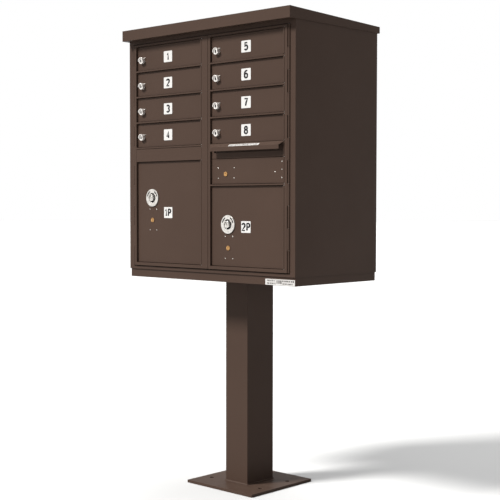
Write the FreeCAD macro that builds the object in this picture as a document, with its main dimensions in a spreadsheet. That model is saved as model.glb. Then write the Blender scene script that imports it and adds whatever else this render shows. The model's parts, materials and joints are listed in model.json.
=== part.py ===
import FreeCAD, Part
import math
import os
from types import SimpleNamespace

import Sketcher
from FreeCAD import Vector

# Cluster mailbox unit on a pedestal: a sheet-metal cabinet with two carrier (master) doors that
# hold eight tenant doors, two parcel doors and an outgoing mail slot.
# Millimetres. Origin: centre of the anchor bolt pattern, on the underside of the base plate.
# +X to the right seen from the front, +Y to the rear, +Z up.

# Driving dimensions, one spreadsheet cell each.
DIMENSIONS = {
    # pedestal
    "plate_side": 304.8,
    "plate_thickness": 9.5,
    "anchor_spacing_x": 228.6,
    "anchor_spacing_y": 139.7,
    "anchor_hole": 15.9,
    "column_width": 101.6,
    "column_depth": 130.0,
    "column_wall": 4.8,
    "column_height": 721.6,
    "top_plate_side": 240.0,
    "top_plate_thickness": 6.35,
    "mounting_bolt": 9.8,
    "mounting_hole": 11.0,
    "mounting_spacing": 190.0,
    "bolt_head_width": 17.0,
    "bolt_head_height": 6.5,
    # cabinet shell
    "cabinet_width": 774.7,
    "cabinet_depth": 416.0,
    "cabinet_height": 834.35,
    "cabinet_sheet": 3.0,
    "side_flange": 21.0,
    "pan_depth": 28.0,
    "pan_inset_side": 2.0,
    "pan_inset_front": 4.0,
    "shelf_sheet": 1.5,
    "partition_sheet": 2.0,
    "shelf_setback": 30.0,
    # hood
    "hood_sheet": 2.5,
    "hood_front_overhang": 31.0,
    "hood_rear_overhang": 10.0,
    "hood_side_gap": 0.3,
    "hood_fall": 15.0,
    "fascia_height": 36.3,
    "fascia_return": 20.0,
    # door opening in the front frame
    "post_width": 27.35,
    "bottom_border": 10.5,
    "jamb_depth": 12.0,
    # master doors
    "door_proud": 5.0,
    "door_depth": 20.0,
    "door_sheet": 2.5,
    "door_gap": 2.5,
    "hood_clearance": 14.5,
    "split_x": 9.0,
    "split_gap": 1.6,
    "outer_stile": 10.5,
    "mullion_width": 40.0,
    "top_rail": 7.0,
    "bottom_rail": 10.5,
    "row_rail": 5.0,
    "row_pitch": 89.0,
    "header_height": 45.0,
    "outgoing_height": 128.0,
    # master door hinges
    "pin": 3.0,
    "pin_clearance": 0.05,
    "barrel": 7.0,
    "barrel_lift": 0.3,
    "knuckle_gap": 0.5,
    # tenant and parcel door leaves
    "leaf_gap": 1.5,
    "leaf_hinge_gap": 0.6,
    "leaf_recess": 6.5,
    "leaf_sheet": 2.5,
    "leaf_flange": 10.0,
    "leaf_knuckle": 9.6,
    "leaf_knuckle_setback": 0.5,
    "rod": 3.2,
    "rod_clearance": 0.05,
    # locks
    "lock_offset": 28.0,
    "lock_drop": 6.5,
    "lock_head": 22.0,
    "lock_head_height": 9.5,
    "lock_hood_height": 3.5,
    "lock_hood_wall": 2.2,
    "lock_barrel": 18.8,
    "lock_nut": 22.0,
    "lock_nut_height": 3.5,
    "plug": 13.0,
    "plug_clearance": 0.05,
    "keyway_width": 2.6,
    "keyway_height": 8.0,
    "keyway_depth": 4.0,
    "cam_clearance": 0.7,
    "cam_thickness": 3.0,
    "cam_width": 14.0,
    "cam_engagement": 6.0,
    "parcel_lock_offset": 77.5,
    "parcel_lock_drop": 125.8,
    "parcel_collar": 60.5,
    "parcel_collar_height": 3.5,
    "parcel_recess": 34.0,
    "parcel_recess_depth": 3.0,
    "parcel_barrel": 23.0,
    "parcel_barrel_height": 8.0,
    "arrow_plug": 14.8,
    "arrow_proud": 2.0,
    "arrow_slot_width": 1.8,
    "arrow_slot_depth": 1.6,
    "arrow_drop": 203.2,
    "outgoing_arrow_offset": 66.0,
    "outgoing_arrow_drop": 94.5,
    "case_long": 90.0,
    "case_short": 50.0,
    "case_wall": 3.4,
    "bolt_height": 12.0,
    "bolt_thickness": 4.0,
    "bolt_clearance": 0.3,
    "bolt_tail": 12.0,
    # outgoing mail slot and its awning
    "slot_height": 19.0,
    "slot_drop": 4.0,
    "slot_margin": 12.0,
    "awning_sheet": 2.0,
    "awning_reach": 15.0,
    "awning_fall": 12.0,
    "awning_lip": 13.5,
    "awning_taper": 12.0,
    "lock_panel_height": 83.0,
    # latch of the left master door
    "latch_rod": 6.0,
    "latch_length": 83.0,
    "latch_knob": 10.0,
    "latch_knob_reach": 14.5,
    "latch_hole": 6.8,
}
ROWS = 4
COLUMN_NAMES = ("left", "right")
FRAME_KNUCKLES = 6
DOOR_KNUCKLES = 5
HEX_SIDES = 6


class Size:
    """A length that carries its spreadsheet expression together with its present value."""

    def __init__(self, text, value):
        self.text = text
        self.value = value

    def _join(self, sign, other, value):
        return Size(f"({self.text} {sign} {as_size(other).text})", value)

    def __add__(self, other):
        return self._join("+", other, self.value + as_size(other).value)

    def __sub__(self, other):
        return self._join("-", other, self.value - as_size(other).value)

    def __mul__(self, other):
        return self._join("*", other, self.value * as_size(other).value)

    def __truediv__(self, other):
        return self._join("/", other, self.value / as_size(other).value)

    def __radd__(self, other):
        return as_size(other) + self

    def __rsub__(self, other):
        return as_size(other) - self

    def __rmul__(self, other):
        return as_size(other) * self

    def __neg__(self):
        return Size(f"(0 - {self.text})", -self.value)


def as_size(item):
    if isinstance(item, Size):
        return item
    return Size(f"({item})", item)


ZERO = as_size(0)

doc = FreeCAD.newDocument("ClusterMailbox")
sheet = doc.addObject("Spreadsheet::Sheet", "Sizes")
for row, (alias, number) in enumerate(DIMENSIONS.items(), start=1):
    sheet.set(f"A{row}", alias)
    sheet.set(f"B{row}", str(number))
    sheet.setAlias(f"B{row}", alias)
doc.recompute()
size = SimpleNamespace(**{name: Size(f"Sizes.{name}", sheet.get(name)) for name in DIMENSIONS})

sub_parts = []


# --- building blocks ---------------------------------------------------------------------------

def bind(item, prop, length):
    item.setExpression(prop, as_size(length).text)


def place(item, x=ZERO, y=ZERO, z=ZERO):
    """Put an object's own origin at a point of the unit's frame."""
    for axis, length in zip("xyz", (x, y, z)):
        bind(item, f"Placement.Base.{axis}", length)


def finish(item, label):
    item.Label = label
    sub_parts.append(item)
    return item


def new_body(label, x=ZERO, y=ZERO, z=ZERO):
    body = doc.addObject("PartDesign::Body", f"Body_{label}")
    place(body, x, y, z)
    return finish(body, label)


def origin_plane(body, role):
    return next(item for item in body.Origin.OriginFeatures if item.Role == role)


def constrain_point(sketch, geometry, vertex, u, v):
    """Fix a sketch point by its distances from the sketch origin."""
    for kind, length in (("DistanceX", u), ("DistanceY", v)):
        length = as_size(length)
        index = sketch.addConstraint(Sketcher.Constraint(kind, -1, 1, geometry, vertex, length.value))
        sketch.setExpression(f"Constraints[{index}]", length.text)


def draw_outline(sketch, points):
    """A closed outline of straight lines through the points."""
    vectors = [Vector(as_size(u).value, as_size(v).value, 0) for u, v in points]
    lines = []
    for start, end in zip(vectors, vectors[1:] + vectors[:1]):
        lines.append(sketch.addGeometry(Part.LineSegment(start, end), False))
    for line, following in zip(lines, lines[1:] + lines[:1]):
        sketch.addConstraint(Sketcher.Constraint("Coincident", line, 2, following, 1))
    for line, (u, v) in zip(lines, points):
        constrain_point(sketch, line, 1, u, v)


def draw_circle(sketch, centre, diameter):
    u, v = (as_size(item) for item in centre)
    radius = as_size(diameter) / 2
    circle = sketch.addGeometry(Part.Circle(Vector(u.value, v.value, 0), Vector(0, 0, 1), radius.value), False)
    constrain_point(sketch, circle, 3, u, v)
    index = sketch.addConstraint(Sketcher.Constraint("Radius", circle, radius.value))
    sketch.setExpression(f"Constraints[{index}]", radius.text)


def rectangle(u_low, u_high, v_low, v_high):
    return ("outline", [(u_low, v_low), (u_high, v_low), (u_high, v_high), (u_low, v_high)])


def polygon(*points):
    return ("outline", list(points))


def circle(u, v, diameter):
    return ("circle", (u, v), diameter)


def hexagon(u, v, across_flats):
    corner = across_flats / (2 * math.cos(math.pi / HEX_SIDES))
    turns = [2 * math.pi * (step + 0.5) / HEX_SIDES for step in range(HEX_SIDES)]
    return ("outline", [(u + corner * math.cos(turn), v + corner * math.sin(turn)) for turn in turns])


# The normal of the XZ plane points to -Y, so its sketches are placed from the far side.
PLANES = {"XY": ("XY_Plane", 1), "XZ": ("XZ_Plane", -1), "YZ": ("YZ_Plane", 1)}


def extrude(body, plane, shapes, low, high, cut=False):
    """Pad or pocket the shapes between two levels along the plane's own axis (+Z, +Y or +X)."""
    role, sense = PLANES[plane]
    low, high = as_size(low), as_size(high)
    step = len(body.Group)
    sketch = body.newObject("Sketcher::SketchObject", f"{body.Name}_sketch{step}")
    sketch.AttachmentSupport = [(origin_plane(body, role), "")]
    sketch.MapMode = "FlatFace"
    starts_low = (sense > 0) != cut
    level = low if starts_low else high
    bind(sketch, ".AttachmentOffset.Base.z", level * sense)
    for shape in shapes:
        if shape[0] == "circle":
            draw_circle(sketch, shape[1], shape[2])
        else:
            draw_outline(sketch, shape[1])
    kind = "Pocket" if cut else "Pad"
    feature = body.newObject(f"PartDesign::{kind}", f"{body.Name}_{kind}{step}")
    feature.Profile = sketch
    bind(feature, "Length", high - low)
    body.Tip = feature
    return feature


def repeat_up(body, features, spacing, count):
    """Repeat features of a body upwards at an even spacing."""
    pattern = body.newObject("PartDesign::LinearPattern", f"{body.Name}_pattern{len(body.Group)}")
    pattern.Originals = features
    pattern.Direction = (origin_plane(body, "Z_Axis"), [""])
    pattern.Mode = "Spacing"
    bind(pattern, "Offset", spacing)
    pattern.Occurrences = count
    body.Tip = pattern
    return pattern


def box(name, x_low, x_high, y_low, y_high, z_low, z_high):
    item = doc.addObject("Part::Box", name)
    bind(item, "Length", as_size(x_high) - x_low)
    bind(item, "Width", as_size(y_high) - y_low)
    bind(item, "Height", as_size(z_high) - z_low)
    place(item, x_low, y_low, z_low)
    return item


def cylinder_up(name, x, y, z_low, z_high, diameter):
    item = doc.addObject("Part::Cylinder", name)
    bind(item, "Radius", diameter / 2)
    bind(item, "Height", as_size(z_high) - z_low)
    place(item, x, y, z_low)
    return item


def hex_prism_up(name, x, y, z_low, z_high, across_flats):
    item = doc.addObject("Part::Prism", name)
    item.Polygon = HEX_SIDES
    bind(item, "Circumradius", across_flats / (2 * math.cos(math.pi / HEX_SIDES)))
    bind(item, "Height", as_size(z_high) - z_low)
    place(item, x, y, z_low)
    return item


def group(label, items):
    compound = doc.addObject("Part::Compound", f"Group_{label}")
    compound.Links = items
    return finish(compound, label)


# --- levels and lines shared by several sub-parts ------------------------------------------------

half_width = size.cabinet_width / 2
face = -(size.cabinet_depth / 2)
back = size.cabinet_depth / 2
sheet_y = face + size.cabinet_sheet

column_top = size.plate_thickness + size.column_height
top_plate_top = column_top + size.top_plate_thickness
floor_level = top_plate_top + size.cabinet_sheet
unit_height = floor_level + size.cabinet_height

hood_front = face - size.hood_front_overhang
hood_back = back + size.hood_rear_overhang
hood_bottom = unit_height - size.fascia_height
hood_half = half_width + size.hood_side_gap + size.hood_sheet


def under_hood(y):
    """Height of the hood's sloping underside at a depth y."""
    fall = size.hood_fall * (y - hood_front) / (hood_back - hood_front)
    return unit_height - size.hood_sheet - fall


opening_half = half_width - size.post_width
opening_bottom = floor_level + size.bottom_border
door_bottom = opening_bottom + size.door_gap
door_top = hood_bottom - size.hood_clearance
opening_top = door_top + size.door_gap
door_front = face - size.door_proud
door_rear = door_front + size.door_depth
door_outer = opening_half - size.door_gap

cell_outer = door_outer - size.outer_stile
cell_inner = size.mullion_width / 2
cell_width = cell_outer - cell_inner
cell_left = {"left": -cell_outer, "right": cell_inner}
rows_top = door_top - size.top_rail
row_height = size.row_pitch - size.row_rail
rows_bottom = rows_top - size.row_pitch * ROWS
parcel_bottom = door_bottom + size.bottom_rail
parcel_top = {
    "left": rows_bottom - size.header_height,
    "right": rows_bottom - size.outgoing_height - size.row_rail,
}
outgoing_bottom = rows_bottom - size.outgoing_height

barrel_x = opening_half + size.barrel / 2 - size.door_gap / 2
barrel_y = sheet_y - size.barrel / 2 - size.barrel_lift
knuckle_pitch = (door_top - door_bottom) / (FRAME_KNUCKLES + DOOR_KNUCKLES)

rod_inset = size.leaf_hinge_gap + size.leaf_knuckle / 2
rod_y = door_front + size.leaf_knuckle_setback + size.leaf_knuckle / 2
rod_bore = size.rod + size.rod_clearance * 2
leaf_front = door_front + size.leaf_recess
leaf_rear = leaf_front + size.leaf_sheet

cam_front = door_rear + size.cam_clearance
cam_rear = cam_front + size.cam_thickness
plug_bore = size.plug + size.plug_clearance * 2
bolt_front = door_rear + size.bolt_clearance * 2
bolt_rear = bolt_front + size.bolt_thickness


def rod_x(column):
    return cell_left[column] + cell_width - rod_inset


def row_cell_bottom(row):
    """Lower edge of a tenant door's cell; rows count down from the top."""
    return rows_top - size.row_pitch * row - row_height


# --- pedestal ------------------------------------------------------------------------------------

def make_base_plate():
    body = new_body("base_plate")
    half = size.plate_side / 2
    extrude(body, "XY", [rectangle(-half, half, -half, half)], ZERO, size.plate_thickness)
    holes = []
    for x_side in (-1, 1):
        for y_side in (-1, 1):
            x = size.anchor_spacing_x * (x_side / 2)
            y = size.anchor_spacing_y * (y_side / 2)
            holes.append(circle(x, y, size.anchor_hole))
    extrude(body, "XY", holes, ZERO, size.plate_thickness, cut=True)


def make_column():
    body = new_body("pedestal_column", z=size.plate_thickness)
    half_x, half_y = size.column_width / 2, size.column_depth / 2
    inner_x, inner_y = half_x - size.column_wall, half_y - size.column_wall
    outer = rectangle(-half_x, half_x, -half_y, half_y)
    inner = rectangle(-inner_x, inner_x, -inner_y, inner_y)
    extrude(body, "XY", [outer, inner], ZERO, size.column_height)


def mounting_points():
    half = size.mounting_spacing / 2
    return [(half * x_side, half * y_side) for x_side in (-1, 1) for y_side in (-1, 1)]


def make_top_plate():
    body = new_body("pedestal_top_plate", z=column_top)
    half = size.top_plate_side / 2
    extrude(body, "XY", [rectangle(-half, half, -half, half)], ZERO, size.top_plate_thickness)
    holes = [circle(x, y, size.mounting_hole) for x, y in mounting_points()]
    extrude(body, "XY", holes, ZERO, size.top_plate_thickness, cut=True)


def make_mounting_bolts():
    bolts = []
    for number, (x, y) in enumerate(mounting_points(), start=1):
        head_low = column_top - size.bolt_head_height
        nut_high = floor_level + size.bolt_head_height
        shank = cylinder_up(f"BoltShank{number}", x, y, head_low, nut_high, size.mounting_bolt)
        head = hex_prism_up(f"BoltHead{number}", x, y, head_low, column_top, size.bolt_head_width)
        nut = hex_prism_up(f"BoltNut{number}", x, y, floor_level, nut_high, size.bolt_head_width)
        bolt = doc.addObject("Part::MultiFuse", f"Bolt{number}")
        bolt.Shapes = [shank, head, nut]
        bolts.append(bolt)
    group("pedestal_mounting_bolts", bolts)


# --- cabinet shell -------------------------------------------------------------------------------

def make_side(column):
    """A side panel: a plate with a sloping top and a return flange along its front edge."""
    sense = -1 if column == "left" else 1
    label = f"cabinet_side_{column}"
    low_x = -half_width if sense < 0 else half_width - size.cabinet_sheet
    body = new_body(label, x=low_x, z=floor_level)
    side = polygon(
        (face, ZERO),
        (back, ZERO),
        (back, under_hood(back) - floor_level),
        (face, under_hood(face) - floor_level),
    )
    extrude(body, "YZ", [side], ZERO, size.cabinet_sheet)
    flange_low = ZERO if sense < 0 else size.cabinet_sheet - size.side_flange
    flange = rectangle(flange_low, flange_low + size.side_flange, ZERO, under_hood(sheet_y) - floor_level)
    extrude(body, "XZ", [flange], face, sheet_y)


def make_floor_pan():
    """The floor: an inverted pan whose rim shows below the doors as a set-back skirt."""
    body = new_body("cabinet_floor", z=floor_level - size.pan_depth)
    half_x = half_width - size.pan_inset_side
    half_y = back - size.pan_inset_front
    wall = size.cabinet_sheet
    extrude(body, "XY", [rectangle(-half_x, half_x, -half_y, half_y)], ZERO, size.pan_depth)
    inside = rectangle(wall - half_x, half_x - wall, wall - half_y, half_y - wall)
    extrude(body, "XY", [inside], ZERO, size.pan_depth - wall, cut=True)
    holes = [circle(x, y, size.mounting_hole) for x, y in mounting_points()]
    extrude(body, "XY", holes, size.pan_depth - wall, size.pan_depth, cut=True)


def make_back():
    half = half_width - size.cabinet_sheet
    finish(
        box("Back", -half, half, back - size.cabinet_sheet, back, floor_level, under_hood(back)),
        "cabinet_back",
    )


def make_hood():
    """A shallow lid that falls to the rear, with a return along the lower edge of its fascia."""
    body = new_body("cabinet_hood", z=hood_bottom)
    wall = size.hood_sheet
    rear_height = size.fascia_height - size.hood_fall
    profile = polygon(
        (hood_front, ZERO),
        (hood_back, ZERO),
        (hood_back, rear_height),
        (hood_front, size.fascia_height),
    )
    extrude(body, "YZ", [profile], -hood_half, hood_half)
    hollow = polygon(
        (hood_front + wall, wall),
        (hood_front + wall + size.fascia_return, wall),
        (hood_front + wall + size.fascia_return, -wall),
        (hood_back - wall, -wall),
        (hood_back - wall, under_hood(hood_back - wall) - hood_bottom),
        (hood_front + wall, under_hood(hood_front + wall) - hood_bottom),
    )
    extrude(body, "YZ", [hollow], wall - hood_half, hood_half - wall, cut=True)


def knuckles(body, x, y, web, first, count, axis_low):
    """Hinge knuckles on one vertical axis, every second one left free for the other leaf."""
    low = axis_low + knuckle_pitch * first
    high = low + knuckle_pitch - size.knuckle_gap
    barrel = extrude(body, "XY", [circle(x, y, size.barrel)], low, high)
    leaf = extrude(body, "XY", [web], low, high)
    repeat_up(body, [barrel, leaf], knuckle_pitch * 2, count)


def make_front_frame():
    body = new_body("front_frame")
    half = half_width - size.cabinet_sheet
    flange_edge = half_width - size.side_flange
    wall = size.cabinet_sheet
    top = under_hood(sheet_y + wall)
    opening = rectangle(-opening_half, opening_half, opening_bottom, opening_top)
    ring = rectangle(-half, half, floor_level, top)
    extrude(body, "XZ", [ring, opening], sheet_y, sheet_y + wall)
    borders = [
        rectangle(-flange_edge, flange_edge, floor_level, opening_bottom),
        rectangle(-flange_edge, flange_edge, opening_top, top),
    ]
    extrude(body, "XZ", borders, face, sheet_y)
    jamb = rectangle(
        -opening_half - wall, opening_half + wall, opening_bottom - wall, opening_top + wall
    )
    extrude(body, "XZ", [jamb, opening], sheet_y + wall, sheet_y + wall + size.jamb_depth)
    for sense in (-1, 1):
        x = barrel_x * sense
        outer = x + size.barrel / 2 * sense
        ends = (x, outer) if sense > 0 else (outer, x)
        web = rectangle(ends[0], ends[1], barrel_y, sheet_y)
        knuckles(body, x, barrel_y, web, 0, FRAME_KNUCKLES, door_bottom)
        bore = circle(x, barrel_y, size.pin + size.pin_clearance * 2)
        extrude(body, "XY", [bore], door_bottom - size.knuckle_gap, opening_top, cut=True)
    latch = circle(latch_x, latch_y, size.latch_hole)
    extrude(body, "XY", [latch], opening_bottom - wall * 2, opening_bottom, cut=True)


def make_hinge_pins():
    pins = []
    for name, sense in (("Left", -1), ("Right", 1)):
        pins.append(cylinder_up(f"HingePin{name}", barrel_x * sense, barrel_y, door_bottom, door_top, size.pin))
    group("master_hinge_pins", pins)


def make_partition():
    half = size.partition_sheet / 2
    top = under_hood(back) - size.cabinet_sheet
    finish(
        box(
            "Partition",
            size.split_x - half,
            size.split_x + half,
            face + size.shelf_setback,
            back - size.cabinet_sheet,
            floor_level,
            top,
        ),
        "centre_partition",
    )


def make_shelves():
    """Compartment floors, and the ceiling over the top row, on both sides of the partition."""
    inner = half_width - size.cabinet_sheet
    half = size.partition_sheet / 2
    spans = {"left": (-inner, size.split_x - half), "right": (size.split_x + half, inner)}
    levels = [rows_top + size.top_rail / 2]
    levels += [row_cell_bottom(row) - size.row_rail / 2 for row in range(ROWS)]
    extra = {"left": [], "right": [outgoing_bottom - size.row_rail / 2]}
    shelves = []
    for column in COLUMN_NAMES:
        x_low, x_high = spans[column]
        for level in levels + extra[column]:
            name = f"Shelf{len(shelves) + 1}"
            low = level - size.shelf_sheet / 2
            high = level + size.shelf_sheet / 2
            y_low, y_high = face + size.shelf_setback, back - size.cabinet_sheet
            shelves.append(box(name, x_low, x_high, y_low, y_high, low, high))
    group("compartment_shelves", shelves)


# --- master doors --------------------------------------------------------------------------------

latch_x = (size.split_x - size.split_gap / 2 - cell_inner) / 2
latch_y = door_rear - size.latch_rod / 2 - size.door_sheet


def cells(column):
    """Openings of a master door: one per tenant door, then what lies below them."""
    x_low = cell_left[column]
    x_high = x_low + cell_width
    openings = [
        rectangle(x_low, x_high, row_cell_bottom(row), row_cell_bottom(row) + row_height)
        for row in range(ROWS)
    ]
    if column == "left":
        openings.append(rectangle(x_low, x_high, parcel_bottom, rows_bottom))
    else:
        openings.append(rectangle(x_low, x_high, outgoing_bottom, rows_bottom))
        openings.append(rectangle(x_low, x_high, parcel_bottom, parcel_top[column]))
    return openings


def make_master_door(column):
    body = new_body(f"{column}_master_door")
    sense = -1 if column == "left" else 1
    split = size.split_gap / 2
    free = size.split_x + split * sense
    ends = (-door_outer, free) if column == "left" else (free, door_outer)
    extrude(body, "XZ", [rectangle(ends[0], ends[1], door_bottom, door_top)], door_front, door_rear)
    extrude(body, "XZ", cells(column), door_front, door_rear, cut=True)
    if column == "left":
        wall = size.door_sheet
        hollow = rectangle(wall - cell_inner, free - wall, parcel_bottom + wall, rows_top - wall)
        pocket = extrude(body, "XZ", [hollow], door_front + wall, door_rear, cut=True)
        latch = circle(latch_x, latch_y, size.latch_rod + size.pin_clearance * 2)
        extrude(body, "XY", [latch], door_bottom, parcel_bottom + wall, cut=True)
    extrude(body, "XY", [circle(rod_x(column), rod_y, rod_bore)], door_bottom, door_top, cut=True)
    x = barrel_x * sense
    edge = door_outer * sense
    web_ends = (x, edge) if column == "left" else (edge, x)
    web_low = barrel_y - size.barrel / 2
    web = rectangle(web_ends[0], web_ends[1], web_low, web_low + size.door_sheet)
    knuckles(body, x, barrel_y, web, 1, DOOR_KNUCKLES, door_bottom)
    bore = circle(x, barrel_y, size.pin + size.pin_clearance * 2)
    extrude(body, "XY", [bore], door_bottom, door_top, cut=True)


def make_hinge_rod(column):
    rod = cylinder_up(f"Rod_{column}", rod_x(column), rod_y, door_bottom, door_top, size.rod)
    finish(rod, f"{column}_door_hinge_rod")


def make_filler_panel():
    """A channel that closes the left door between its lowest tenant door and the parcel door."""
    height = size.header_height - size.leaf_gap
    body = new_body("left_filler_panel", x=cell_left["left"], z=parcel_top["left"])
    x_low = size.leaf_hinge_gap
    x_high = cell_width - size.leaf_hinge_gap
    wall = size.leaf_sheet
    extrude(body, "XZ", [rectangle(x_low, x_high, ZERO, height)], door_front, door_front + wall)
    flanges = [rectangle(x_low, x_high, ZERO, wall), rectangle(x_low, x_high, height - wall, height)]
    extrude(body, "XZ", flanges, door_front + wall, door_rear - size.leaf_recess)
    extrude(body, "XY", [circle(cell_width - rod_inset, rod_y, rod_bore)], ZERO, height, cut=True)


def make_latch():
    """Sliding bolt inside the free stile of the left master door, with a finger knob."""
    body = new_body("left_master_latch", x=latch_x, y=latch_y, z=door_bottom + size.door_gap / 2)
    extrude(body, "XY", [circle(ZERO, ZERO, size.latch_rod)], ZERO, size.latch_length)
    knob_z = size.latch_length - size.latch_knob
    extrude(body, "XZ", [circle(ZERO, knob_z, size.latch_knob)], ZERO, size.latch_knob_reach)


# --- door leaves ---------------------------------------------------------------------------------

def make_leaf(label, column, bottom, height, holes):
    """A door leaf: flanged face sheet with a hinge knuckle along its right edge.

    The leaf's origin is on the hinge axis at its lower edge. holes: (x from the cell's left
    edge, height above the leaf's lower edge, diameter).
    """
    body = new_body(label, x=rod_x(column), y=rod_y, z=bottom)
    cell_edge = rod_inset - cell_width
    left = cell_edge + size.leaf_gap
    front = leaf_front - rod_y
    rear = front + size.leaf_sheet
    flange_rear = front + size.leaf_flange
    wall = size.leaf_sheet
    profile = polygon(
        (left, front),
        (ZERO, front),
        (ZERO, rear),
        (left + wall, rear),
        (left + wall, flange_rear),
        (left, flange_rear),
    )
    extrude(body, "XY", [profile], ZERO, height)
    extrude(body, "XY", [circle(ZERO, ZERO, size.leaf_knuckle)], ZERO, height)
    rim = rectangle(left + wall, -size.leaf_knuckle, rear, flange_rear)
    extrude(body, "XY", [rim], ZERO, wall)
    extrude(body, "XY", [rim], height - wall, height)
    extrude(body, "XY", [circle(ZERO, ZERO, rod_bore)], ZERO, height, cut=True)
    if holes:
        circles = [circle(cell_edge + x, z, diameter) for x, z, diameter in holes]
        extrude(body, "XZ", circles, front, rear, cut=True)
    return body


def lock_hole():
    return size.lock_barrel + size.plug_clearance * 4


def arrow_hole():
    return size.arrow_plug + size.plug_clearance * 2


def tenant_leaf_bottom(row):
    return row_cell_bottom(row) + size.leaf_gap


def leaf_height(cell_height):
    return cell_height - size.leaf_gap * 2


def make_tenant_door(number, column, row):
    height = leaf_height(row_height)
    hole = (size.lock_offset, height / 2 - size.lock_drop, lock_hole())
    make_leaf(f"tenant_door_{number}", column, tenant_leaf_bottom(row), height, [hole])


def make_parcel_door(number, column):
    bottom = parcel_bottom + size.leaf_gap
    height = leaf_height(parcel_top[column] - parcel_bottom)
    lock_z = parcel_top[column] - size.parcel_lock_drop - bottom
    arrow_z = parcel_top[column] - size.arrow_drop - bottom
    holes = [
        (size.parcel_lock_offset, lock_z, lock_hole()),
        (size.parcel_lock_offset, arrow_z, arrow_hole()),
    ]
    make_leaf(f"parcel_door_{number}", column, bottom, height, holes)


def make_lock_panel():
    bottom = outgoing_bottom + size.leaf_gap
    height = size.lock_panel_height - size.leaf_gap
    arrow_z = rows_bottom - size.outgoing_arrow_drop - bottom
    hole = (size.outgoing_arrow_offset, arrow_z, arrow_hole())
    make_leaf("outgoing_lock_panel", "right", bottom, height, [hole])


def make_awning():
    """The outgoing slot's plate, formed in one with the sloping awning and its lip."""
    bottom = outgoing_bottom + size.lock_panel_height + size.leaf_gap
    body = new_body("outgoing_mail_awning", x=cell_left["right"], z=bottom)
    top = rows_bottom - size.leaf_gap - bottom
    crest = rows_bottom + size.row_rail - bottom
    sheet_t = size.awning_sheet
    wall = size.leaf_sheet
    upstand_y = door_front - size.door_sheet / 8
    fold_y = upstand_y - size.awning_reach
    fold_z = crest - size.awning_fall
    drop = size.awning_fall * (1 - sheet_t / size.awning_reach)
    profile = polygon(
        (leaf_front, ZERO),
        (leaf_rear, ZERO),
        (leaf_rear, top),
        (upstand_y, top),
        (upstand_y, crest),
        (fold_y, fold_z),
        (fold_y, fold_z - size.awning_lip),
        (fold_y + sheet_t, fold_z - size.awning_lip),
        (fold_y + sheet_t, crest - drop - sheet_t),
        (upstand_y - sheet_t, crest - sheet_t * 2),
        (upstand_y - sheet_t, top - wall),
        (leaf_front, top - wall),
    )
    x_low, x_high = size.leaf_gap, cell_width - rod_inset
    end = cell_width - size.leaf_hinge_gap
    extrude(body, "YZ", [profile], x_low, x_high)
    edge = [point for point in profile[1][3:11]] + [(upstand_y, top - wall)]
    extrude(body, "YZ", [("outline", edge)], x_high, end)
    extrude(body, "XY", [circle(x_high, rod_y, size.leaf_knuckle)], ZERO, top)
    extrude(body, "XY", [circle(x_high, rod_y, rod_bore)], ZERO, top, cut=True)
    slot_top = top - size.slot_drop
    slot = rectangle(size.slot_margin, cell_width - size.slot_margin, slot_top - size.slot_height, slot_top)
    extrude(body, "XZ", [slot], leaf_front, leaf_rear, cut=True)
    corners = [
        polygon((x_low, upstand_y), (x_low, fold_y), (x_low + size.awning_taper, fold_y)),
        polygon((end, upstand_y), (end - size.awning_taper, fold_y), (end, fold_y)),
    ]
    extrude(body, "XY", corners, fold_z - size.awning_lip, crest, cut=True)


# --- locks ---------------------------------------------------------------------------------------

def make_lock_body(label, x, z, head, head_height, collar):
    """A cylinder lock's fixed body. Its origin is on the lock axis at the leaf's front face."""
    body = new_body(label, x=x, y=leaf_front, z=z)
    barrel_rear = cam_front - size.plug_clearance * 4 - leaf_front
    if collar:
        extrude(body, "XZ", [circle(ZERO, ZERO, size.parcel_collar)], -size.parcel_collar_height, ZERO)
        groove = [circle(ZERO, ZERO, size.parcel_recess), circle(ZERO, ZERO, head)]
        low = -size.parcel_collar_height
        extrude(body, "XZ", groove, low, low + size.parcel_recess_depth, cut=True)
    extrude(body, "XZ", [circle(ZERO, ZERO, head)], -head_height, ZERO)
    hood_low = -head_height - size.lock_hood_height
    extrude(body, "XZ", [circle(ZERO, ZERO, head)], hood_low, -head_height)
    open_half = rectangle(-head, head, -head, -size.plug / 4)
    extrude(body, "XZ", [open_half], hood_low, -head_height, cut=True)
    inner = circle(ZERO, ZERO, head - size.lock_hood_wall * 2)
    extrude(body, "XZ", [inner], hood_low, -head_height, cut=True)
    extrude(body, "XZ", [circle(ZERO, ZERO, size.lock_barrel)], ZERO, barrel_rear)
    nut = hexagon(ZERO, ZERO, size.lock_nut)
    nut_low = leaf_rear - leaf_front
    extrude(body, "XZ", [nut], nut_low, nut_low + size.lock_nut_height)
    extrude(body, "XZ", [circle(ZERO, ZERO, plug_bore)], hood_low, barrel_rear, cut=True)


def make_plug(label, x, z, head_height, reach):
    """A lock plug with its keyway and the cam on its rear end, cam upwards (released)."""
    body = new_body(label, x=x, y=leaf_front, z=z)
    front = -head_height - size.plug_clearance * 8
    low, high = cam_front - leaf_front, cam_rear - leaf_front
    extrude(body, "XZ", [circle(ZERO, ZERO, size.plug)], front, high)
    half = size.cam_width / 2
    extrude(body, "XZ", [rectangle(-half, half, -half, reach - half)], low, high)
    extrude(body, "XZ", [circle(ZERO, reach - half, size.cam_width)], low, high)
    half_key = size.keyway_width / 2
    keyway = rectangle(-half_key, half_key, -size.keyway_height / 2, size.keyway_height / 2)
    extrude(body, "XZ", [keyway], front, front + size.keyway_depth, cut=True)


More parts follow.
